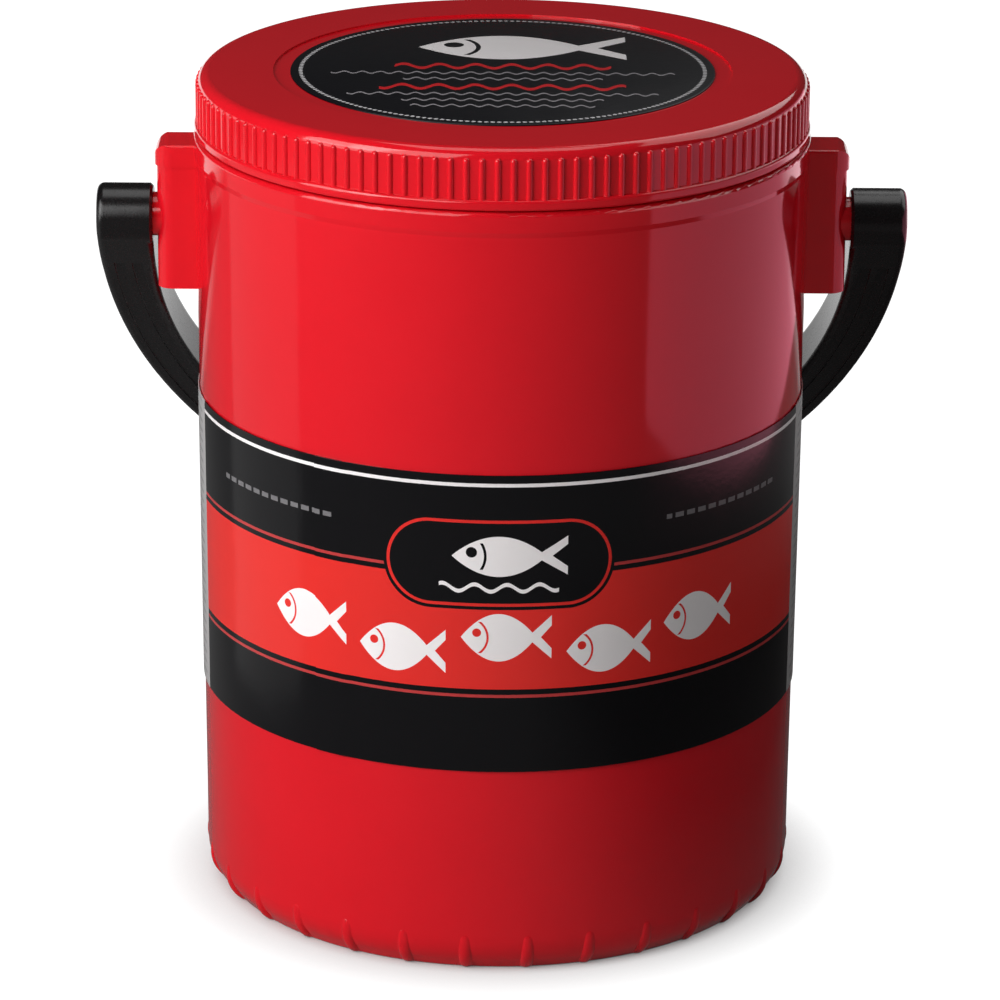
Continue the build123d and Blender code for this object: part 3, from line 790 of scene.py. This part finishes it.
# %% Where the paper glows and where it is dark
FLOOR_SHOWN = 0.95                          # share of the glow that the camera sees
CONTACT_REACH = 0.02                        # m, how far the painted contact shadow spreads
SKY_SAMPLES = 8
FRONT_GLOW = 0.08                           # share of the glow that reflections keep in front
BACK_EDGE = (330, 430)                      # mm behind the axis, where it turns white
SHADE_SIDE = (30, 130)                      # mm to the right, where the painted shade of the bucket begins
SHADE_REACH = (340, 240)                    # mm from the axis, where that painted shade ends


def ray(finish, kind):
    """1 where a finish is met by rays of one kind, such as those of the camera."""
    return finish.add("LightPath", {}, {}, f"Is {kind} Ray")


paper = new_finish("floor_paper")
behind = paper.ramp(paper.y, *BACK_EDGE)
# painted shade: a mask on the right, where the bucket's shade would fall, darkens the paper
shade = paper.ramp(paper.x, *SHADE_SIDE) & paper.ramp(reach(paper.x, paper.y), *SHADE_REACH)
# painted contact shadow: the camera's glow fades round the foot, where less sky is open
open_sky = paper.add(
    "AmbientOcclusion", {"samples": SKY_SAMPLES}, {"Distance": CONTACT_REACH}, "AO"
)
shown_share = (ray(paper, "Camera") | ray(paper, "Transmission")) * open_sky * FLOOR_SHOWN
# reflections of the paper in front also darken in the painted shade
mirrored_share = behind * (1 - FRONT_GLOW) + (1 - shade) * FRONT_GLOW
print("paper turns white", BACK_EDGE[0], "to", BACK_EDGE[1], "mm behind the axis")

# %% The paper
PAPER_GLOW = 1.2                            # where 1 is plain white
PAPER_GREY = 0.55                           # what the paper gives back of a lamp's light
SHADE_GREY = 0.1                            # the same in the painted shade and in reflections


def matt(grey):
    return paper.add("BsdfDiffuse", {}, {"Color": (grey, grey, grey, 1)})


lit_paper = matt(PAPER_GREY)
glow = paper.add("Emission", {}, {"Color": (1, 1, 1, 1), "Strength": PAPER_GLOW})
dark_paper = matt(SHADE_GREY)
# painted shade: the lit paper turns into dark paper inside the mask
bounce = paper.add("MixShader", {}, {0: shade, 1: lit_paper, 2: dark_paper})
shown = paper.add("MixShader", {}, {0: shown_share, 1: bounce, 2: glow})
mirrored = paper.add("MixShader", {}, {0: mirrored_share, 1: dark_paper, 2: glow})
seen = paper.add("MixShader", {}, {0: ray(paper, "Glossy"), 1: shown, 2: mirrored})
floor.data.materials.append(paper.close(seen))
print(paper.owner.name, "has", len(paper.nodes), "nodes")

# %% [markdown]
# ## The world
# The studio round the bucket is white to the camera, as a shop's background is. If it lit the
# bucket as well, every shadow would fill up, so it gives almost no light and shows only faintly in
# reflections.

# %% The world
WORLD_GLOSS = 0.018                         # share of the white that reflections see
AMBIENT = 0.02                              # light from all round

studio = Finish(bpy.data.worlds.new("studio"))
dim = studio.add("Background", {}, {"Color": (1, 1, 1, 1), "Strength": AMBIENT})
bright = studio.add("Background", {}, {"Color": (1, 1, 1, 1), "Strength": 1.0})
seen_by_camera = ray(studio, "Camera") | ray(studio, "Transmission")
bright_share = seen_by_camera | ray(studio, "Glossy") * WORLD_GLOSS
surround = studio.add("MixShader", {}, {0: bright_share, 1: dim, 2: bright})
bpy.context.scene.world = studio.close(surround)
print("world gives", AMBIENT, "of plain white")

# %% [markdown]
# ## The lamps
# A round glossy wall shows the studio as stripes. One bare lamp would give a hard dot and a black
# side, so large flat lamps stand on the left, near the front and above. Each is given by how bright
# its face looks, because that doesn't change when the lamp is moved or made larger.

# %% Helpers for lamps
def soft_lamp(name, place, aim, size, brightness, lights=True, reflects=True, tint=(1, 1, 1)):
    """A flat soft lamp. brightness is how bright its face looks, where 1 is white paper."""
    bpy.ops.object.light_add(type="AREA", location=place)
    lamp = bpy.context.object
    lamp.name = name
    lamp.data.shape = "RECTANGLE"
    lamp.data.size, lamp.data.size_y = size
    lamp.data.energy = brightness * math.pi * size[0] * size[1]
    lamp.data.color = tint
    lamp.visible_camera = False
    lamp.visible_diffuse = lights
    lamp.visible_glossy = reflects
    turn_towards(lamp, Vector(aim))
    print(name, "gives", round(lamp.data.energy, 2), "W")


def around(aim, azimuth, elevation, distance):
    """A place seen from aim: azimuth in degrees from the front towards the left."""
    side = math.radians(azimuth)
    rise = math.radians(elevation)
    flat = distance * math.cos(rise)
    return (
        aim[0] - flat * math.sin(side),
        aim[1] - flat * math.cos(side),
        aim[2] + distance * math.sin(rise),
    )


# %% The lamps
MIDDLE = (0, 0, 0.1)                        # m, on the bucket's axis
HIGH_MIDDLE = (0, 0, 0.15)
TOP_PLACE = (0, 0.1, 1.1)

key_place = around(MIDDLE, azimuth=60, elevation=30, distance=0.9)
low_place = around(MIDDLE, azimuth=60, elevation=5, distance=0.9)
near_place = around(HIGH_MIDDLE, azimuth=35, elevation=25, distance=0.45)
soft_lamp("key_left", key_place, MIDDLE, size=(0.5, 0.5), brightness=4.0)
soft_lamp("low_left", low_place, MIDDLE, size=(0.5, 0.5), brightness=2.75)
soft_lamp("near_front", near_place, HIGH_MIDDLE, size=(0.3, 0.3), brightness=3.0)
soft_lamp("top", TOP_PLACE, MIDDLE, size=(0.6, 0.6), brightness=1.9)

# %% [markdown]
# Photographers also put cards beside a glossy piece, only to be mirrored in it. A card here is a
# lamp that gives no light but shows in reflections. A rosy one makes the clear edge on the right of
# the wall, and a faint one lightens the left. A high one behind the lid draws its round edge. The
# one lamp on the right does the opposite: it fills the dark side and isn't mirrored.

# %% The cards
SIDE_AIM = (0, 0.043, 0.13)
SIDE_SIZE = (0.42, 0.14)
SIDE_TINT = (1, 0.27, 0.4)
FILL_PLACE = (0.2, 0.043, 0.15)
RIGHT_PLACE = (0.192, 0.043, 0.13)
LEFT_PLACE = (-0.192, -0.011, 0.06)
LEFT_AIM = (0, -0.011, 0.06)
LID_MIDDLE = (0, 0, 0.185)

high_place = around(LID_MIDDLE, azimuth=-120, elevation=43, distance=0.6)
soft_lamp("fill_right", FILL_PLACE, SIDE_AIM, SIDE_SIZE, brightness=0.46, reflects=False)
soft_lamp("card_right", RIGHT_PLACE, SIDE_AIM, SIDE_SIZE, brightness=1.3, lights=False, tint=SIDE_TINT)
soft_lamp("card_left", LEFT_PLACE, LEFT_AIM, size=(0.125, 0.16), brightness=0.24, lights=False)
soft_lamp("card_high", high_place, LID_MIDDLE, size=(0.85, 0.45), brightness=1.8, lights=False)

# %% [markdown]
# ## Comparing sizes and closing
# Blender dresses the model and doesn't change its size. The box of the CAD pieces, kept from the
# start, is set against the box of what is shown now, and how far the upper corner moved is printed,
# so that a difference shows.

# %% Comparing sizes and closing
shown_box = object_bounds()
growth = [round(MM * (new - old), 3) for new, old in zip(shown_box[1], cad_box[1])]
print("the upper corner moved by", growth, "mm")
